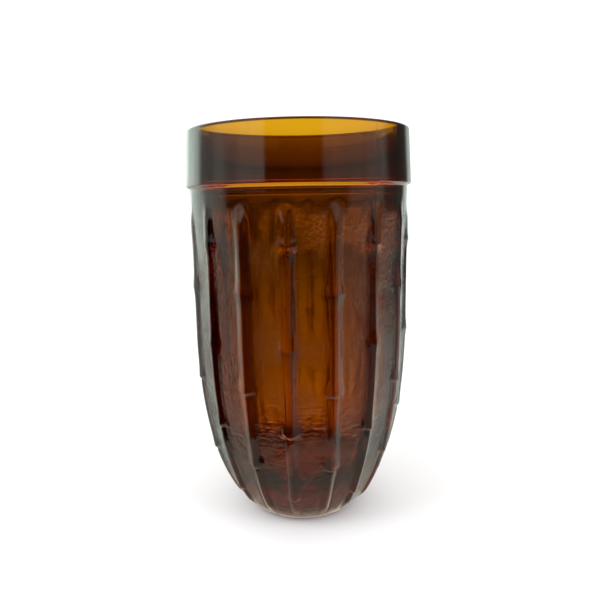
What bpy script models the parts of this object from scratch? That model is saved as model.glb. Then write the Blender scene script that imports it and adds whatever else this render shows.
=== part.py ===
# Pressed-glass tumbler: one piece of amber glass with a plain stepped rim band,
# sixteen bamboo-stalk ribs, a rounded heel and a flat standing ring.
# Metres, +Z up, standing on z = 0, axis of revolution on Z.
import math

import bmesh
import bpy
from mathutils import Vector

MM = 0.001

HEIGHT = 137.0 * MM          # standing ring to lip crest
BAND_R = 39.5 * MM           # rim band, outside, at its lower edge
BAND_TOP_R = 38.6 * MM       # rim band, outside, just under the lip
BAND_Z = 118.1 * MM          # lower edge of the rim band
NECK_R = 38.2 * MM           # smooth neck under the band
NECK_Z = 114.0 * MM          # where the neck starts to sink to the panels
LIP_OUT = 1.1 * MM           # rounding of the lip, outer side
LIP_IN = 1.2 * MM            # rounding of the lip, inner side
LIP_IN_R = 35.7 * MM         # where that inner rounding is centred

TURN_STEPS = 80              # flats round the turned body

RIB_COUNT = 16
RIB_TUBE_R = 2.1 * MM        # radius of a rib's round section
RIB_NODE_R = 2.55 * MM       # the same at a node of the stalk
RIB_SINK = 0.9 * MM          # how far a rib's centre line lies under the panel
NODE_HALF = 3.0 * MM         # half the length of a node's swelling
NODES_A = (99.0 * MM, 66.5 * MM, 38.0 * MM, 12.8 * MM)
NODES_B = (84.0 * MM, 51.8 * MM, 25.2 * MM)
RIB_TOP_Z = 112.0 * MM
RIB_FOOT_Z = 4.6 * MM

# Panels between the ribs, (radius, height), from the neck down to the ring.
PANEL = [
    (37.25 * MM, 111.0 * MM),
    (37.20 * MM, 97.0 * MM),
    (37.20 * MM, 84.0 * MM),
    (37.25 * MM, 72.0 * MM),
    (37.05 * MM, 60.0 * MM),
    (36.30 * MM, 49.0 * MM),
    (35.20 * MM, 40.0 * MM),
    (33.75 * MM, 32.0 * MM),
    (32.00 * MM, 25.0 * MM),
    (29.95 * MM, 18.6 * MM),
    (27.60 * MM, 12.8 * MM),
    (25.05 * MM, 8.0 * MM),
    (22.35 * MM, 4.3 * MM),
    (19.85 * MM, 1.9 * MM),
    (17.95 * MM, 0.6 * MM),
]
RING_OUT_R = 16.4 * MM       # standing ring, flat on z = 0
RING_IN_R = 11.6 * MM
RECESS_R = 10.2 * MM         # shallow dished recess inside the ring
RECESS_Z = 1.0 * MM

# Smooth cavity, (radius, height), from the middle of its floor up to the lip.
CAVITY = [
    (0.0, 12.6 * MM),
    (9.0 * MM, 12.8 * MM),
    (15.5 * MM, 13.9 * MM),
    (20.4 * MM, 16.5 * MM),
    (24.1 * MM, 20.6 * MM),
    (27.0 * MM, 25.8 * MM),
    (29.4 * MM, 32.2 * MM),
    (31.1 * MM, 40.6 * MM),
    (32.1 * MM, 51.5 * MM),
    (32.7 * MM, 66.0 * MM),
    (33.0 * MM, 82.0 * MM),
    (33.3 * MM, 96.0 * MM),
    (34.0 * MM, 112.0 * MM),
    (34.42 * MM, 122.0 * MM),
    (34.5 * MM, 128.0 * MM),
]


def clear_scene():
    for obj in list(bpy.data.objects):
        bpy.data.objects.remove(obj, do_unlink=True)


def amber_glass():
    mat = bpy.data.materials.new("amber_glass")
    mat.use_nodes = True
    shader = mat.node_tree.nodes["Principled BSDF"]
    shader.inputs["Base Color"].default_value = (0.55, 0.22, 0.03, 1.0)
    shader.inputs["Roughness"].default_value = 0.04
    shader.inputs["IOR"].default_value = 1.52
    shader.inputs["Transmission Weight"].default_value = 1.0
    return mat


def arc(centre, radius, start, end, count):
    """Points on a circular arc in the profile plane, both ends included."""
    points = []
    for i in range(count + 1):
        angle = math.radians(start + (end - start) * i / count)
        points.append((centre[0] + radius * math.cos(angle),
                       centre[1] + radius * math.sin(angle)))
    return points


def turned_profile():
    """Closed half section, up the inside, over the lip, down the outside."""
    points = list(CAVITY)
    points += arc((LIP_IN_R, HEIGHT - LIP_IN), LIP_IN, 180.0, 90.0, 3)
    points += arc((BAND_TOP_R - LIP_OUT, HEIGHT - LIP_OUT), LIP_OUT, 90.0, 0.0, 4)
    points += arc((BAND_R - 0.4 * MM, BAND_Z + 0.4 * MM), 0.4 * MM, 0.0, -60.0, 2)
    points += [(NECK_R + 0.05 * MM, BAND_Z - 0.95 * MM), (NECK_R, BAND_Z - 1.5 * MM)]
    points += [(NECK_R, NECK_Z)]
    points += PANEL
    points += [(RING_OUT_R, 0.0), (RING_IN_R, 0.0)]
    points += [(RECESS_R, RECESS_Z), (RECESS_R - 1.0 * MM, RECESS_Z)]
    points += [(0.0, RECESS_Z)]
    return points


def turned_body(name, points, collection):
    mesh = bpy.data.meshes.new(name)
    verts = [(r, 0.0, z) for r, z in points]
    edges = [(i, i + 1) for i in range(len(points) - 1)]
    mesh.from_pydata(verts, edges, [])
    obj = bpy.data.objects.new(name, mesh)
    collection.objects.link(obj)
    screw = obj.modifiers.new("turn", "SCREW")
    screw.axis = "Z"
    screw.angle = math.tau
    screw.steps = TURN_STEPS
    screw.render_steps = TURN_STEPS
    screw.use_merge_vertices = True
    screw.merge_threshold = 0.00005
    return obj


def panel_point(z):
    """Point of the panel surface at this height and its outward normal."""
    line = [(NECK_R, NECK_Z)] + PANEL
    for (r1, z1), (r2, z2) in zip(line, line[1:]):
        if z2 <= z <= z1:
            t = (z - z1) / (z2 - z1)
            down = Vector((r2 - r1, z2 - z1)).normalized()
            return r1 + (r2 - r1) * t, Vector((-down.y, down.x))
    raise ValueError("height is off the panels")


def rib_heights(nodes):
    """Heights of the points along a rib, close together round each node."""
    heights = [RIB_TOP_Z, RIB_TOP_Z - 2.0 * MM]
    for node in nodes:
        heights += [node + NODE_HALF, node, node - NODE_HALF]
    edges = [RIB_TOP_Z] + list(nodes) + [RIB_FOOT_Z]
    for high, low in zip(edges, edges[1:]):
        if high - low > 20.0 * MM:
            heights.append((high + low) / 2)
    heights += [RIB_FOOT_Z + 2.5 * MM, RIB_FOOT_Z]
    return sorted(set(heights), reverse=True)


def rib(name, angle, nodes, collection):
    """One stalk: a tube along the panel, swollen at its nodes, as a closed mesh."""
    heights = rib_heights(nodes)
    curve = bpy.data.curves.new(name, "CURVE")
    curve.dimensions = "3D"
    curve.bevel_depth = 1.0 * MM
    curve.bevel_resolution = 2
    curve.use_fill_caps = True
    spline = curve.splines.new("POLY")
    spline.points.add(len(heights) - 1)
    for point, z in zip(spline.points, heights):
        r, normal = panel_point(z)
        r -= normal.x * RIB_SINK
        z_in = z - normal.y * RIB_SINK
        point.co = (r * math.sin(angle), -r * math.cos(angle), z_in, 1.0)
        point.radius = RIB_TUBE_R / MM
        if min(abs(z - node) for node in nodes) < 0.1 * MM:
            point.radius = RIB_NODE_R / MM
    spline.points[0].radius = 0.55 * RIB_TUBE_R / MM
    spline.points[-1].radius = 0.55 * RIB_TUBE_R / MM
    stalk = bpy.data.objects.new(name, curve)
    collection.objects.link(stalk)
    bpy.context.view_layer.update()
    graph = bpy.context.evaluated_depsgraph_get()
    mesh = bpy.data.meshes.new_from_object(stalk.evaluated_get(graph))
    solid = bpy.data.objects.new(name + "_solid", mesh)
    solid.matrix_world = stalk.matrix_world
    collection.objects.link(solid)
    bpy.data.objects.remove(stalk, do_unlink=True)
    weld(solid)
    solid.hide_render = True
    solid.display_type = "WIRE"
    return solid


def weld(obj):
    """Joins the end caps of a converted tube to its wall."""
    bm = bmesh.new()
    bm.from_mesh(obj.data)
    bmesh.ops.remove_doubles(bm, verts=bm.verts, dist=0.00001)
    bmesh.ops.recalc_face_normals(bm, faces=bm.faces)
    bm.to_mesh(obj.data)
    bm.free()


def join_ribs(body, stalks):
    for stalk in stalks:
        union = body.modifiers.new("with_" + stalk.name, "BOOLEAN")
        union.operation = "UNION"
        union.solver = "EXACT"
        union.object = stalk


def freeze(obj):
    """Replaces the object's mesh by what its modifiers make of it."""
    bpy.context.view_layer.update()
    graph = bpy.context.evaluated_depsgraph_get()
    mesh = bpy.data.meshes.new_from_object(obj.evaluated_get(graph))
    obj.modifiers.clear()
    obj.data = mesh


def main():
    clear_scene()
    scene = bpy.context.scene
    whole = bpy.data.collections.new("tumbler")
    helpers = bpy.data.collections.new("helpers")
    scene.collection.children.link(whole)
    scene.collection.children.link(helpers)

    body = turned_body("tumbler", turned_profile(), whole)
    stalks = []
    for i in range(RIB_COUNT):
        nodes = NODES_A if i % 2 == 0 else NODES_B
        angle = math.tau * i / RIB_COUNT
        stalks.append(rib("rib_%02d" % (i + 1), angle, nodes, helpers))
    join_ribs(body, stalks)
    freeze(body)
    body.data.materials.clear()
    body.data.materials.append(amber_glass())
    body.data.shade_smooth()
    body.data.set_sharp_from_angle(angle=math.radians(30.0))


main()
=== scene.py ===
"""Amber pressed-glass tumbler with a stepped rim band and bamboo-stalk ribs.

One piece of glass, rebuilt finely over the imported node, on a pale floor in
soft studio light. The scene is in metres, +Z up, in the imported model's frame.
The glass is worked out in millimetres and scaled when its mesh is made.
"""
import math

import bmesh
import bpy
import numpy as np
from mathutils import Matrix, Vector, noise


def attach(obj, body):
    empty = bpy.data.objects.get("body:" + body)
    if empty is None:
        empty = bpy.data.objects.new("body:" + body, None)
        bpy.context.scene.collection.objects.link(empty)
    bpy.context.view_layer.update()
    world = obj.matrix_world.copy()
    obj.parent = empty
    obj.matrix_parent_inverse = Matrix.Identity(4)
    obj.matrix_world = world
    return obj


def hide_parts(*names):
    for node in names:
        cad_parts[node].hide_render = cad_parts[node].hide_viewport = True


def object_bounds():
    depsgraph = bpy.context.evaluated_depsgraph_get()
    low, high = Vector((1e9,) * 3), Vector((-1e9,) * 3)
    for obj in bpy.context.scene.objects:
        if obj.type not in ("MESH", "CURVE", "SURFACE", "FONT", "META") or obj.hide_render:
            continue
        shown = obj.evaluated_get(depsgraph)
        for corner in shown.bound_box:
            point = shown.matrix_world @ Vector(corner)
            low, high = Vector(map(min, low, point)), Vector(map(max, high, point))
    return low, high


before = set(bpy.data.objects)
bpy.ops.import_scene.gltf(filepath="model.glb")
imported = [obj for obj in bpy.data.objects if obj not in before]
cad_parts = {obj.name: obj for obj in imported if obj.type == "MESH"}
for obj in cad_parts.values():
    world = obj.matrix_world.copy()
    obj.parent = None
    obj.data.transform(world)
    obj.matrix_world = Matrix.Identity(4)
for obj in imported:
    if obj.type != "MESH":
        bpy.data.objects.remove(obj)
CAD_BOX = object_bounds()

MM = 0.001

# ------------------------------------------------------------ sizes, in mm
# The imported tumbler's own box drives the rest.
HEIGHT = round(CAD_BOX[1][2] / MM, 2)
BAND_R = round(CAD_BOX[1][0] / MM, 2)

BAND_TOP_R = BAND_R - 0.9    # the band narrows towards the lip
NECK_R = BAND_R - 1.3
STEP_Z = HEIGHT - 19.05      # lower edge of the band
BEAD_Z = STEP_Z - 3.05       # faint step at the foot of the neck
STEP_ROUND = 0.30
LIP_OUT = 0.7                # roundings outside and inside the crest
LIP_IN = 0.5
LIP_IN_R = BAND_R - 4.4      # where the inner rounding is centred
CHAMFER_TURN = -62.0         # degrees: how far round the band's lower edge turns
CHAMFER_DROP = 0.62
CHAMFER_FOOT = 0.08          # how far outside the neck the chamfer ends

# Outlines are (radius, height). This one is where the flat panels would meet
# under the ribs.
PANEL = [
    (38.02, 111.0), (37.72, 103.0), (37.52, 94.0), (37.47, 84.0), (37.48, 72.0),
    (37.28, 60.0), (36.53, 49.0), (35.42, 40.0), (33.96, 32.0), (32.18, 25.0),
    (30.08, 18.6), (27.68, 12.8), (25.12, 8.0), (22.42, 4.3), (19.93, 1.9), (17.98, 0.6),
]
CAVITY = [
    (0.0, 12.6), (9.0, 12.8), (15.5, 13.9), (20.4, 16.5), (24.1, 20.6),
    (27.0, 25.8), (29.4, 32.2), (31.1, 40.6), (32.1, 51.5), (32.7, 66.0),
    (33.0, 82.0), (33.3, 96.0), (34.0, 112.0), (34.42, 122.0), (34.5, 128.0),
]
# From the heel over the flat standing ring into the recess inside it.
BASE = [
    (17.1, 0.16), (16.4, 0.0), (14.1, 0.0), (11.8, 0.0), (11.5, 0.08),
    (10.4, 0.88), (9.9, 1.0), (7.2, 1.0), (3.0, 1.0),
]
BEAD_IN = 0.03               # how far inside the neck's radius the bead starts
# Small fillets, as (outward, up) from the neck's radius and the height above.
NECK_FILLET = [(-0.01, -0.10), (-0.04, -0.26)]
BEAD_FILLET = [(-0.04, -0.12), (-0.06, -0.30), (-0.07, -0.55)]

RIB_COUNT = 16
SECTOR = math.tau / RIB_COUNT
NODES_A = (99.0, 66.5, 38.0, 12.8)    # heights of the nodes, even ribs
NODES_B = (84.0, 51.8, 25.2)          # and odd ribs
RIB_HALF = 2.60              # half width of a stalk
RIB_RISE = 0.84              # how far a stalk stands off the panel
RIB_SHARE = 0.42             # the most of a sector that half a stalk may take
DOME_END = 0.88              # share of the half width that is a plain dome
FOOT_END = 1.16              # where its eased foot meets the panel
RIB_TOP = (112.6, 105.6)     # heights between which a rib's ends fade in
RIB_FOOT = (4.2, 8.2)
THIN_Z = (6.0, 36.0)         # ribs grow to full width between these heights
THIN_SHARE = 0.72
LOW_Z = (4.0, 24.0)          # and to their full rise between these
LOW_SHARE = 0.8

STEPPED_Z = 60.0             # below this height the nodes end in a sharp step
NODE_WIDEN = 0.85            # extra half width at a node
NODE_RISE = 0.42             # extra height at a node
NODE_ABOVE = 4.6             # length of the swelling above a node
NODE_BELOW = 0.9             # and below it
NODE_BELOW_SOFT = 2.8        # and below the nodes higher up
SWELL_TAPER = 1.45           # how fast and how roundly the swelling dies away
SWELL_POWER = 1.6
NODE_SMILE = 1.8             # how much higher a node's edges sit than its middle
GROOVE_DEEP = 0.26           # ring groove under each node
GROOVE_HALF = 0.50
GROOVE_DROP = 0.9
SOFT_GROOVE = 0.3            # share of it that the higher nodes have

# No two ribs are quite alike: sideways, in height and in where the nodes sit.
RIB_WANDER = 0.16
WANDER_WAVES = 0.035         # noise steps per mm of height
RIB_UNEVEN = 0.11
UNEVEN_WAVES = 0.05
NODE_SCATTER = 1.1
SCATTER_Z = (100.0, 40.0)    # none above the first height, all below the second
RIB_SEED = 3.7               # noise steps from one rib to the next
# Slow unevenness of the skin: (height, waves per mm sideways, upwards, shift).
SKIN_WAVES = [(0.030, 0.11, 0.07, 0.0), (0.014, 0.33, 0.26, 7.0)]
WAVES_FROM = (2.0, 8.0)

FLAT_TOP = (114.0, 80.0)     # the body turns from round to flat-sided
FLAT_FOOT = (3.0, 11.0)      # and back to round near the ring
PEBBLED_OFF_RIB = (1.6, 2.8)
PEBBLED_TOP = (111.5, 108.5)
PEBBLED_FOOT = (3.0, 6.0)

SEAM_RIBS = (2, 10)          # ribs that carry the mould's parting line
SEAM_ON_BAND = (0.07, 0.25)  # its height and half width
SEAM_ON_RIB = (0.09, 0.22)
STEP_JOG = 0.30              # how much higher the step sits on one mould half
JOG_BELOW = 121.0            # only this low on the band
JOG_HALF = 0.006             # radians over which the jog happens, each side

# ------------------------------------------------------- mesh spacing, in mm
FINE_STEPS = 12              # columns on each side of a rib's middle
FINE_HALF_DEG = 6.6
PANEL_STEPS = 5              # columns across a panel
ROWS_AT_NODE = 0.40
ROWS_NEAR_NODE = 1.0
ROWS_PLAIN = 1.9
NODE_ZONE = (-1.8, 2.2, 6.0)          # round a node: fine from, fine to, near to
ROWS_IN_FLOOR = 3.0
ROWS_IN_WALL = 5.5
CAVITY_FLOOR_Z = 30.0
BAND_ROWS = (0.02, 0.2, 0.4, 0.6, 0.8, 0.98, 1.0)
CAVITY_STEPS = 10            # curve points between two points of an outline
PANEL_CURVE_STEPS = 16
ROUND_STEPS = 5              # rows round the small roundings
LIP_STEPS = 7
LIP_HOLD = 0.94              # a row close under the lip keeps the wall's shading straight


# ------------------------------------------------------------ section curves
def ramp(value, start, end):
    """0 at start to 1 at end, eased at both."""
    t = min(max((value - start) / (end - start), 0.0), 1.0)
    return t * t * (3 - 2 * t)


def catmull(points, per_span):
    """Smooth curve through (r, z) points, with its own points included."""
    pts = [np.array(p, float) for p in points]
    pts = [2 * pts[0] - pts[1]] + pts + [2 * pts[-1] - pts[-2]]
    out = []
    for p0, p1, p2, p3 in zip(pts, pts[1:], pts[2:], pts[3:]):
        t1 = np.linalg.norm(p1 - p0) ** 0.5
        t2 = t1 + np.linalg.norm(p2 - p1) ** 0.5
        t3 = t2 + np.linalg.norm(p3 - p2) ** 0.5
        for k in range(per_span):
            t = t1 + (t2 - t1) * k / per_span
            a1 = p0 * (t1 - t) / t1 + p1 * t / t1
            a2 = p1 * (t2 - t) / (t2 - t1) + p2 * (t - t1) / (t2 - t1)
            a3 = p2 * (t3 - t) / (t3 - t2) + p3 * (t - t2) / (t3 - t2)
            b1 = a1 * (t2 - t) / t2 + a2 * t / t2
            b2 = a2 * (t3 - t) / (t3 - t1) + a3 * (t - t1) / (t3 - t1)
            out.append(b1 * (t2 - t) / (t2 - t1) + b2 * (t - t1) / (t2 - t1))
    out.append(pts[-2])
    return [tuple(p) for p in out]


def arc(centre, radius, start, end, count):
    """Points on an arc of the section, both ends included, degrees."""
    steps = [math.radians(start + (end - start) * i / count) for i in range(count + 1)]
    return [(centre[0] + radius * math.cos(a), centre[1] + radius * math.sin(a))
            for a in steps]


def between(start, end, t):
    """The point a share t of the way from start to end."""
    return (start[0] + (end[0] - start[0]) * t, start[1] + (end[1] - start[1]) * t)


def straight(start, end, count):
    """Points from start to end, without start."""
    return [between(start, end, i / count) for i in range(1, count + 1)]


def fillet(offsets, z):
    """Small steps off the neck's radius, below the height z."""
    return [(NECK_R + outward, z + up) for outward, up in offsets]


def resample(points, spacing):
    """Points along a polyline; spacing(z) gives the local distance."""
    pts = np.array(points)
    steps = np.linalg.norm(np.diff(pts, axis=0), axis=1)
    along = np.concatenate([[0.0], np.cumsum(steps)])
    where, s = [], 0.0
    while s < along[-1]:
        where.append(s)
        s += spacing(np.interp(s, along, pts[:, 1]))
    if along[-1] - where[-1] < 0.4 * spacing(pts[-1, 1]):
        where.pop()
    where.append(along[-1])
    return [(float(np.interp(q, along, pts[:, 0])), float(np.interp(q, along, pts[:, 1])))
            for q in where]


def panel_spacing(z):
    """Distance between rows of the ribbed body: close together at the nodes."""
    fine_from, fine_to, near_to = NODE_ZONE
    for node_z in NODES_A + NODES_B:
        if fine_from < z - node_z < fine_to:
            return ROWS_AT_NODE
        if fine_to <= z - node_z < near_to:
            return ROWS_NEAR_NODE
    return ROWS_PLAIN


def inside_spacing(z):
    return ROWS_IN_FLOOR if z < CAVITY_FLOOR_Z else ROWS_IN_WALL


def inside_section():
    """Floor of the cavity to the lip's crest."""
    wall = catmull(CAVITY + [(LIP_IN_R - LIP_IN, HEIGHT - LIP_IN)], CAVITY_STEPS)
    wall = resample(wall, inside_spacing)
    wall.insert(-1, between(wall[-2], wall[-1], LIP_HOLD))
    return wall + arc((LIP_IN_R, HEIGHT - LIP_IN), LIP_IN, 180.0, 90.0, ROUND_STEPS)[1:]


def band_section():
    """Lip's crest, down the band and its step, to the foot of the neck."""
    line = arc((BAND_TOP_R - LIP_OUT, HEIGHT - LIP_OUT), LIP_OUT, 90.0, 0.0, LIP_STEPS)
    edge_z = STEP_Z + STEP_ROUND
    top = line[-1]
    line += [between(top, (BAND_R, edge_z), t) for t in BAND_ROWS]
    turn = arc((BAND_R - STEP_ROUND, edge_z), STEP_ROUND, 0.0, CHAMFER_TURN, ROUND_STEPS)
    line += turn[1:]
    chamfer_foot = (NECK_R + CHAMFER_FOOT, line[-1][1] - CHAMFER_DROP)
    line += straight(line[-1], chamfer_foot, 2)
    line += fillet(NECK_FILLET, chamfer_foot[1])
    line += straight(line[-1], (NECK_R - BEAD_IN, BEAD_Z), 3)
    return line + fillet(BEAD_FILLET, BEAD_Z)


def panel_section():
    """The ribbed body's outline, from the foot of the neck to the heel."""
    top = fillet(BEAD_FILLET, BEAD_Z)[-1]
    neck = (top[0] + 0.05, top[1] + 1.0)
    line = catmull([neck, top] + PANEL, PANEL_CURVE_STEPS)
    line = [p for p in line if p[1] < top[1] - 0.05]
    return resample([top] + line, panel_spacing)[1:]


def normals_of(line):
    """Outward normals of an open section that runs down the outer side."""
    along = np.gradient(np.array(line), axis=0)
    along /= np.linalg.norm(along, axis=1)[:, None]
    return np.stack([-along[:, 1], along[:, 0]], axis=1)


# -------------------------------------------------------------------- relief
def swelling(z, nodes):
    """0 to 1: how much of a node's swelling this height has."""
    best = 0.0
    for node_z in nodes:
        d = z - node_z
        below = NODE_BELOW if node_z < STEPPED_Z else NODE_BELOW_SOFT
        reach = NODE_ABOVE if d > 0 else below
        best = max(best, math.exp(-abs(d / reach * SWELL_TAPER) ** SWELL_POWER))
    return best


def groove(z, nodes):
    """0 to 1: how deep in the ring groove under a node this height is."""
    def depth(node_z):
        share = 1.0 if node_z < STEPPED_Z else SOFT_GROOVE
        return share * math.exp(-((z - node_z + GROOVE_DROP) / GROOVE_HALF) ** 2)
    return max(depth(node_z) for node_z in nodes)


def stalk(offset, z, nodes, room):
    """Height of a rib over the panel at this sideways offset, mm."""
    half = RIB_HALF + NODE_WIDEN * swelling(z, nodes)
    half *= THIN_SHARE + (1 - THIN_SHARE) * ramp(z, *THIN_Z)
    x = abs(offset) / min(half, RIB_SHARE * room)
    if x >= FOOT_END:
        return 0.0
    bent_z = z - NODE_SMILE * min(x, 1.0) ** 2
    rise = RIB_RISE + NODE_RISE * swelling(bent_z, nodes)
    rise *= LOW_SHARE + (1 - LOW_SHARE) * ramp(z, *LOW_Z)
    if x < DOME_END:
        dome = 1.0 - x * x
    else:
        dome = (1 - DOME_END ** 2) * (1 - ramp(x, DOME_END, FOOT_END))
    cut = GROOVE_DEEP * groove(bent_z, nodes)
    return (rise - cut) * dome * ramp(z, *RIB_TOP) * ramp(z, *RIB_FOOT)


def waviness(x, y, z):
    """Slow unevenness of pressed glass, mm."""
    return sum(height * noise.noise(Vector((x * across + shift, y * across, z * up)))
               for height, across, up, shift in SKIN_WAVES)


def seam(angle, r, rise, width):
    """Height of the mould's parting line at this angle, mm."""
    return sum(rise * math.exp(-((angle - rib * SECTOR) * r / width) ** 2)
               for rib in SEAM_RIBS)


def half_jog(angle):
    """1 on the mould half right of the front seam, 0 on the other."""
    first, second = (rib * SECTOR for rib in SEAM_RIBS)
    return (ramp(angle, first - JOG_HALF, first + JOG_HALF)
            * ramp(angle, second + JOG_HALF, second - JOG_HALF))


# --------------------------------------------------------------------- glass
def column_angles():
    """Angles round the body, close together over the ribs, radians."""
    fine = [FINE_HALF_DEG * i / FINE_STEPS for i in range(-FINE_STEPS, FINE_STEPS + 1)]
    gap = math.degrees(SECTOR) - 2 * FINE_HALF_DEG
    coarse = [FINE_HALF_DEG + gap * (i + 1) / (PANEL_STEPS + 1) for i in range(PANEL_STEPS)]
    return [rib * SECTOR + math.radians(a) for rib in range(RIB_COUNT) for a in fine + coarse]


def around(r, angle, z):
    """The point at radius r, with angles running right from the front."""
    return (r * math.sin(angle), -r * math.cos(angle), z)


def band_point(r, z, out, angle):
    """A point of the band or neck, with the parting line and the step's jog."""
    high = seam(angle, NECK_R, *SEAM_ON_BAND)
    jog = STEP_JOG * half_jog(angle) if z < JOG_BELOW else 0.0
    return around(r + out[0] * high, angle, z + jog)


def body_point(r, z, out, angle):
    """A point of the ribbed body."""
    rib = round(angle / SECTOR)
    nodes = NODES_A if rib % 2 == 0 else NODES_B
    off_rib = angle - rib * SECTOR
    seed = RIB_SEED * (rib % RIB_COUNT)
    wander = RIB_WANDER * noise.noise(Vector((seed, z * WANDER_WAVES, 0.0)))
    uneven = RIB_UNEVEN * noise.noise(Vector((seed, z * UNEVEN_WAVES, 5.0)))
    scatter = NODE_SCATTER * noise.noise(Vector((seed, 9.0, 2.0)))
    rib_z = z + scatter * ramp(z, *SCATTER_Z)
    high = stalk(off_rib * r - wander, rib_z, nodes, r * SECTOR) * (1 + uneven)
    high += seam(angle, r, *SEAM_ON_RIB)
    x, y, _ = around(r, angle, z)
    high += ramp(z, *WAVES_FROM) * waviness(x, y, z)
    chord = 1 - math.cos(SECTOR / 2) / math.cos(abs(off_rib) - SECTOR / 2)
    high -= r * chord * ramp(z, *FLAT_TOP) * ramp(z, *FLAT_FOOT)
    return around(r + out[0] * high, angle, z + out[1] * high)


def pebbled(r, z, angle):
    """0 to 1: how pebbled the skin of the ribbed body is."""
    offset = abs(angle - round(angle / SECTOR) * SECTOR) * r
    return (ramp(offset, *PEBBLED_OFF_RIB) * ramp(z, *PEBBLED_TOP)
            * ramp(z, *PEBBLED_FOOT))


def glass_points():
    """Rings from the cavity's floor over the lip to the base, and their pebbling."""
    angles = column_angles()
    inside, band, body = inside_section()[1:], band_section(), panel_section()
    normals = normals_of(band + body + BASE)
    points = [around(r, a, z) for r, z in inside for a in angles]
    skin = [0.0] * len(points)
    for (r, z), out in zip(band, normals):
        points += [band_point(r, z, out, a) for a in angles]
        skin += [0.0] * len(angles)
    for (r, z), out in zip(body, normals[len(band):]):
        points += [body_point(r, z, out, a) for a in angles]
        skin += [pebbled(r, z, a) for a in angles]
    points += [around(r, a, z) for r, z in BASE for a in angles]
    skin += [0.0] * len(BASE) * len(angles)
    return points, skin, len(angles)


def glass_faces(rows, count, floor, under):
    """Quads between the rings, and fans to the two middle points."""
    faces = []
    for row in range(rows - 1):
        for i in range(count):
            a, b = row * count + i, row * count + (i + 1) % count
            faces.append((a, a + count, b + count, b))
    last = (rows - 1) * count
    for i in range(count):
        j = (i + 1) % count
        faces.append((floor, i, j))
        faces.append((under, last + j, last + i))
    return faces


def face_outwards(mesh):
    bm = bmesh.new()
    bm.from_mesh(mesh)
    bmesh.ops.recalc_face_normals(bm, faces=bm.faces)
    bm.to_mesh(mesh)
    bm.free()


def build_glass():
    points, skin, count = glass_points()
    rows, floor = len(points) // count, len(points)
    points += [(0.0, 0.0, CAVITY[0][1]), (0.0, 0.0, BASE[-1][1])]
    mesh = bpy.data.meshes.new("amber_glass_tumbler")
    mesh.from_pydata([Vector(p) * MM for p in points], [],
                     glass_faces(rows, count, floor, floor + 1))
    mesh.update()
    layer = mesh.attributes.new("pebbled", "FLOAT", "POINT")
    layer.data.foreach_set("value", skin + [0.0, 0.0])
    face_outwards(mesh)
    mesh.shade_smooth()
    obj = bpy.data.objects.new("amber_glass_tumbler", mesh)
    bpy.context.scene.collection.objects.link(obj)
    return obj


# --------------------------------------------------------------- shader nodes
def node(tree, kind, **values):
    """A new shader node; a value goes to the input or the setting of its name."""
    made = tree.nodes.new(kind)
    for name, value in values.items():
        if name in made.inputs.keys():
            made.inputs[name].default_value = value
        else:
            setattr(made, name, value)
    return made


def plug(tree, socket, value):
    """Links an output to the socket, or sets the socket to a number."""
    if isinstance(value, (int, float)):
        socket.default_value = value
    else:
        tree.links.new(value, socket)


def math_node(tree, kind, *values):
    made = node(tree, "ShaderNodeMath", operation=kind)
    for socket, value in zip(made.inputs, values):
        plug(tree, socket, value)
    return made.outputs["Value"]


def map_range(tree, value, source, target):
    made = node(tree, "ShaderNodeMapRange")
    for name, number in zip(("From Min", "From Max", "To Min", "To Max"), source + target):
        made.inputs[name].default_value = number
    tree.links.new(value, made.inputs["Value"])
    return made.outputs["Result"]


def noise_of(tree, place, scale, detail, roughness):
    made = node(tree, "ShaderNodeTexNoise", Scale=scale, Detail=detail, Roughness=roughness)
    tree.links.new(place, made.inputs["Vector"])
    return made.outputs["Fac"]


def mix(tree, factor, off, on):
    made = node(tree, "ShaderNodeMix", data_type="FLOAT")
    tree.links.new(factor, made.inputs["Factor"])
    plug(tree, made.inputs[2], off)
    plug(tree, made.inputs[3], on)
    return made.outputs[0]


def mix_colour(tree, factor, off, on):
    made = node(tree, "ShaderNodeMix", data_type="RGBA")
    tree.links.new(factor, made.inputs["Factor"])
    made.inputs[6].default_value = (*off, 1.0)
    if isinstance(on, tuple):
        made.inputs[7].default_value = (*on, 1.0)
    else:
        tree.links.new(on, made.inputs[7])
    return made.outputs[2]


# ------------------------------------------------------------------ materials
GLASS_IOR = 1.52
# Absorbed per metre: the density times what the amber lacks of white.
AMBER = (0.957, 0.785, 0.0, 1.0)
AMBER_DENSITY = 1100.0
TINT_LOW = (0.96, 0.90, 0.80, 1.0)
TINT_HIGH = (1.0, 0.97, 0.92, 1.0)
GLOSS = (0.012, 0.05)                        # roughness, smoothest to dullest
# Noises: scale, detail, roughness.
HAZE = (140.0, 4.0, 0.6)
PATCHES = (62.0, 2.0, 0.5)
PEBBLES = (950.0, 3.0, 0.6)
RIPPLES = (230.0, 2.0, 0.5)
HAZE_SPREAD = (0.35, 0.75)                   # the stretch of each noise that is used
PATCH_SPREAD = (0.42, 0.62)
BUMP_HEIGHT = 0.0002                         # metres
PEBBLE_STRENGTH = (0.2, 1.9)
RIPPLE_STRENGTH = (0.25, 0.95)
RIPPLE_FLATTENED = (1.0, 1.0, 2.8)
RIPPLE_Z = (0.075, 0.050)                    # metres: ripples grow below the first


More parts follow.
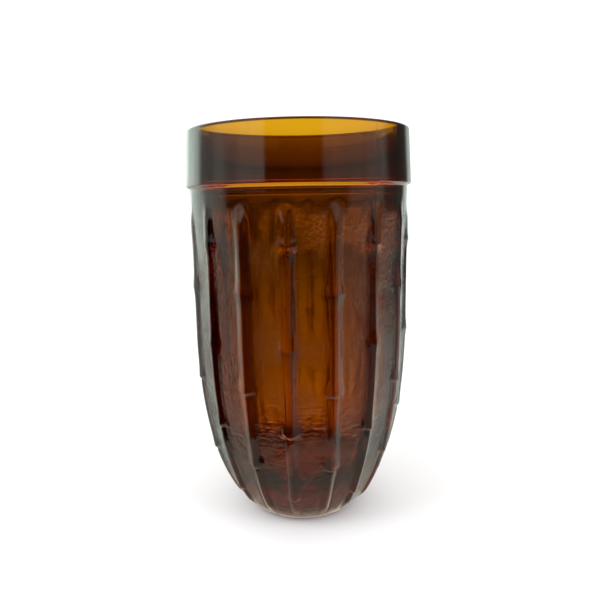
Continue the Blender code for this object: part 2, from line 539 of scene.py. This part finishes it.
def pressed_skin(tree, place):
    """Height of the skin: pebbles in patches, and ripples of the chilled mould low down."""
    patch = map_range(tree, noise_of(tree, place, *PATCHES), PATCH_SPREAD, PEBBLE_STRENGTH)
    pebbles = math_node(tree, "MULTIPLY", noise_of(tree, place, *PEBBLES), patch)
    flattened = node(tree, "ShaderNodeMapping", Scale=RIPPLE_FLATTENED)
    tree.links.new(place, flattened.inputs["Vector"])
    ripples = noise_of(tree, flattened.outputs["Vector"], *RIPPLES)
    split = node(tree, "ShaderNodeSeparateXYZ")
    tree.links.new(place, split.inputs["Vector"])
    low_down = map_range(tree, split.outputs["Z"], RIPPLE_Z, RIPPLE_STRENGTH)
    both = math_node(tree, "MULTIPLY_ADD", ripples, low_down, pebbles)
    mask = node(tree, "ShaderNodeAttribute", attribute_name="pebbled")
    return math_node(tree, "MULTIPLY", both, mask.outputs["Fac"])


def amber_glass():
    mat = bpy.data.materials.new("amber_glass")
    mat.use_nodes = True
    tree = mat.node_tree
    link = tree.links.new
    shader = tree.nodes["Principled BSDF"]
    shader.inputs["IOR"].default_value = GLASS_IOR
    shader.inputs["Transmission Weight"].default_value = 1.0
    place = node(tree, "ShaderNodeTexCoord").outputs["Object"]

    haze = noise_of(tree, place, *HAZE)
    tint = node(tree, "ShaderNodeValToRGB")
    for stop, colour in zip(tint.color_ramp.elements, (TINT_LOW, TINT_HIGH)):
        stop.color = colour
    link(haze, tint.inputs["Fac"])
    link(tint.outputs["Color"], shader.inputs["Base Color"])
    link(map_range(tree, haze, HAZE_SPREAD, GLOSS), shader.inputs["Roughness"])

    bump = node(tree, "ShaderNodeBump", Strength=1.0, Distance=BUMP_HEIGHT)
    link(pressed_skin(tree, place), bump.inputs["Height"])
    link(bump.outputs["Normal"], shader.inputs["Normal"])

    body = node(tree, "ShaderNodeVolumeAbsorption", Color=AMBER, Density=AMBER_DENSITY)
    link(body.outputs["Volume"], tree.nodes["Material Output"].inputs["Volume"])
    return mat


def plain(name, colour, rough):
    mat = bpy.data.materials.new(name)
    mat.use_nodes = True
    shader = mat.node_tree.nodes["Principled BSDF"]
    shader.inputs["Base Color"].default_value = (*colour, 1.0)
    shader.inputs["Roughness"].default_value = rough
    return mat


# ----------------------------------------------------------------------- room
STUDIO_WHITE = 1.15          # backdrop and the soft light on the floor

# What the glass mirrors, at three heights: (degrees of bearing, level).
# Bearings run from the front, positive to the right.
HIGH_WALLS = [
    (-180, 0.4), (-160, 0.4), (-150, 1.9), (-112, 1.9), (-104, 0.6), (-88, 0.6),
    (-80, 0.95), (-28, 0.95), (-25, 0.0), (27, 0.0), (33, 0.45), (70, 0.5), (98, 0.6),
    (108, 0.10), (142, 0.10), (152, 0.8), (172, 0.7), (180, 0.4),
]
MID_WALLS = [
    (-180, 0.6), (-160, 0.7), (-150, 1.5), (-112, 1.5), (-104, 1.0), (-84, 1.0),
    (-77, 0.8), (-70, 0.0), (56, 0.0), (62, 0.42), (82, 0.42), (98, 0.6),
    (106, 0.14), (142, 0.14), (150, 1.1), (172, 1.0), (180, 0.6),
]
LOW_WALLS = [
    (-180, 0.5), (-150, 0.9), (-112, 0.95), (-104, 0.75), (-77, 0.8), (-70, 0.0),
    (26, 0.0), (32, 0.36), (82, 0.42), (90, 1.1), (150, 1.1), (172, 1.0), (180, 0.5),
]
LOW_TO_MID = (-13, -7)       # degrees of height over which one turns to the next
MID_TO_HIGH = (1, 4)
# How much of the walls, and of the table, there is at each height.
WALLS_UP = [(-90, 0), (-50, 0), (-45, 0.5), (-30, 1), (40, 1), (52, 0.3), (90, 0.3)]
TABLE_UP = [(-90, 1), (-41, 1), (-39, 0), (90, 0)]
TABLE = 0.70
TABLE_TINT = (1.0, 0.88, 0.70)
MIRRORED_TINT = (0.86, 1.0, 0.90)
DIM = 0.01                   # there is always this much
UNEVEN = (1.2, 0.4)          # the walls' noise: times, plus

# What the glass bends, seen through it: level by height,
BEYOND = [
    (-90, 0.55), (-62, 0.50), (-50, 0.10), (-42, 0.03), (-34, 0.08), (-29, 0.40),
    (-20, 0.50), (-14, 0.38), (-9, 0.26), (-5.5, 0.14), (-3.6, 0.09), (-2.2, 0.07),
    (-1.4, 0.035), (-0.4, 0.13), (1, 0.17), (2, 0.25), (3, 0.50), (3.6, 0.80),
    (4.3, 1.06), (5.2, 1.14), (9, 0.80), (14, 0.8), (90, 0.9),
]
# and how much of that there is at each bearing, up to a height.
BEYOND_ROUND = [
    (-180, 0.98), (-176, 1.0), (-166, 0.80), (-156, 0.42), (-148, 0.20), (-140, 0.16),
    (-134, 0.26), (-124, 0.16), (-106, 0.30), (-92, 1.0), (-78, 0.6), (-66, 0.4),
    (-45, 1.0), (-24, 0.4), (-10, 0.8), (0, 1.0), (10, 0.8), (24, 0.4), (45, 1.0),
    (66, 0.4), (78, 0.6), (92, 1.0), (106, 0.30), (124, 0.14), (134, 0.24), (140, 0.14),
    (148, 0.16), (156, 0.26), (166, 0.62), (176, 0.94), (180, 0.98),
]
ROUND_UP_TO = (3, 5)


def curve(tree, value, stops, limit):
    """Level at this angle, from a list of (degrees, level) within plus or minus limit."""
    scaled = math_node(tree, "DIVIDE", math_node(tree, "ADD", value, limit), 2 * limit)
    made = node(tree, "ShaderNodeValToRGB")
    points = made.color_ramp.elements
    while len(points) < len(stops):
        points.new(0.5)
    for point, (angle, level) in zip(points, stops):
        point.position = (angle + limit) / (2 * limit)
        point.color = (level, level, level, 1.0)
    tree.links.new(scaled, made.inputs["Fac"])
    return made.outputs["Color"]


def step(tree, value, span):
    """0 below a span of degrees, 1 above it."""
    return curve(tree, value, [(span[0], 0), (span[1], 1)], 180)


def room_mirrored(tree, place, bearing, height, table):
    """Level of what the glass mirrors: uneven window walls, and the table below."""
    low, mid, high = (curve(tree, bearing, stops, 180)
                      for stops in (LOW_WALLS, MID_WALLS, HIGH_WALLS))
    lower = mix(tree, step(tree, height, LOW_TO_MID), low, mid)
    wall = mix(tree, step(tree, height, MID_TO_HIGH), lower, high)
    shapes = node(tree, "ShaderNodeTexNoise", Scale=3.2, Detail=2.0)
    tree.links.new(place, shapes.inputs["Vector"])
    uneven = math_node(tree, "MULTIPLY_ADD", shapes.outputs["Fac"], *UNEVEN)
    walls = math_node(tree, "MULTIPLY", wall, curve(tree, height, WALLS_UP, 90))
    walls = math_node(tree, "MULTIPLY", walls, uneven)
    return math_node(tree, "MULTIPLY_ADD", table, TABLE, math_node(tree, "ADD", walls, DIM))


def room_beyond(tree, bearing, height):
    """Level of what the glass bends."""
    share = curve(tree, bearing, BEYOND_ROUND, 180)
    share = mix(tree, step(tree, height, ROUND_UP_TO), share, 1.0)
    return math_node(tree, "MULTIPLY", curve(tree, height, BEYOND, 90), share)


def build_room():
    """White round the set; what the glass bends and mirrors is a dim room with windows."""
    world = bpy.data.worlds.new("studio")
    bpy.context.scene.world = world
    world.use_nodes = True
    tree = world.node_tree
    link = tree.links.new
    place = node(tree, "ShaderNodeTexCoord").outputs["Generated"]
    split = node(tree, "ShaderNodeSeparateXYZ")
    link(place, split.inputs["Vector"])
    x, y, z = split.outputs
    forward = math_node(tree, "MULTIPLY", y, -1.0)
    bearing = math_node(tree, "DEGREES", math_node(tree, "ARCTAN2", x, forward))
    height = math_node(tree, "DEGREES", math_node(tree, "ARCSINE", z))
    table = curve(tree, height, TABLE_UP, 90)

    path = node(tree, "ShaderNodeLightPath").outputs
    room = mix(tree, path["Is Transmission Ray"],
               room_mirrored(tree, place, bearing, height, table),
               room_beyond(tree, bearing, height))
    seen = math_node(tree, "MAXIMUM", path["Is Camera Ray"], path["Is Diffuse Ray"])
    background = tree.nodes["Background"].inputs
    link(mix(tree, seen, room, STUDIO_WHITE), background["Strength"])
    tint = mix_colour(tree, table, MIRRORED_TINT, TABLE_TINT)
    link(mix_colour(tree, path["Is Glossy Ray"], (1.0, 1.0, 1.0), tint), background["Color"])


# ---------------------------------------------------------------------- stage
CAM_AZIMUTH = math.radians(6.2)
CAM_DISTANCE = 0.2173
CAM_HEIGHT = 0.1122
CAM_SIDE = -0.00015
CAM_PITCH = 0.161            # radians below level
CAM_ROLL = -0.016
CAM_SENSOR = 36.0            # millimetres, like the lens
CAM_LENS = 35.88

FLOOR_REACH = 3.0
FLOOR_PAINT = (0.92, 0.92, 0.915)
# Soft windows: name, place, power.
WINDOWS = [("window_left", (-0.8, -0.5, 0.55), 6.0), ("window_right", (0.9, -0.45, 0.5), 5.0)]
WINDOW_SIZE = (0.5, 0.9)
WINDOW_COLOUR = (0.95, 0.98, 1.0)
WINDOW_AIM = (0, 0, 0.07)


def place_camera():
    data = bpy.data.cameras.new("camera")
    camera = bpy.data.objects.new("camera", data)
    bpy.context.scene.collection.objects.link(camera)
    data.sensor_width = CAM_SENSOR
    data.lens = CAM_LENS
    data.clip_start = 0.01
    camera.matrix_world = (
        Matrix.Rotation(CAM_AZIMUTH, 4, "Z")
        @ Matrix.Translation((CAM_SIDE, -CAM_DISTANCE, CAM_HEIGHT))
        @ Matrix.Rotation(math.pi / 2 - CAM_PITCH, 4, "X")
        @ Matrix.Rotation(CAM_ROLL, 4, "Z"))
    bpy.context.scene.camera = camera


def window_light(name, place, power):
    """An area light that lights the floor, but is not itself seen in the glass."""
    data = bpy.data.lights.new(name, "AREA")
    data.shape = "RECTANGLE"
    data.size, data.size_y = WINDOW_SIZE
    data.energy = power
    data.color = WINDOW_COLOUR
    lamp = bpy.data.objects.new(name, data)
    bpy.context.scene.collection.objects.link(lamp)
    lamp.location = place
    aim = Vector(WINDOW_AIM) - Vector(place)
    lamp.rotation_euler = aim.to_track_quat("-Z", "Y").to_euler()
    lamp.visible_glossy = False
    lamp.visible_transmission = False


def build_floor():
    """Pale floor, which the glass neither mirrors nor shows through itself."""
    corners = [(x * FLOOR_REACH, y * FLOOR_REACH, 0)
               for x, y in ((-1, -1), (1, -1), (1, 1), (-1, 1))]
    mesh = bpy.data.meshes.new("floor")
    mesh.from_pydata(corners, [], [(0, 1, 2, 3)])
    mesh.materials.append(plain("floor_paint", FLOOR_PAINT, 0.9))
    floor = bpy.data.objects.new("floor", mesh)
    bpy.context.scene.collection.objects.link(floor)
    floor.visible_transmission = False
    floor.visible_glossy = False


bpy.context.scene.view_settings.view_transform = "Standard"
build_floor()
build_room()
place_camera()
for window in WINDOWS:
    window_light(*window)

glass = build_glass()
glass.data.materials.append(amber_glass())
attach(glass, "root")
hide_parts("tumbler")
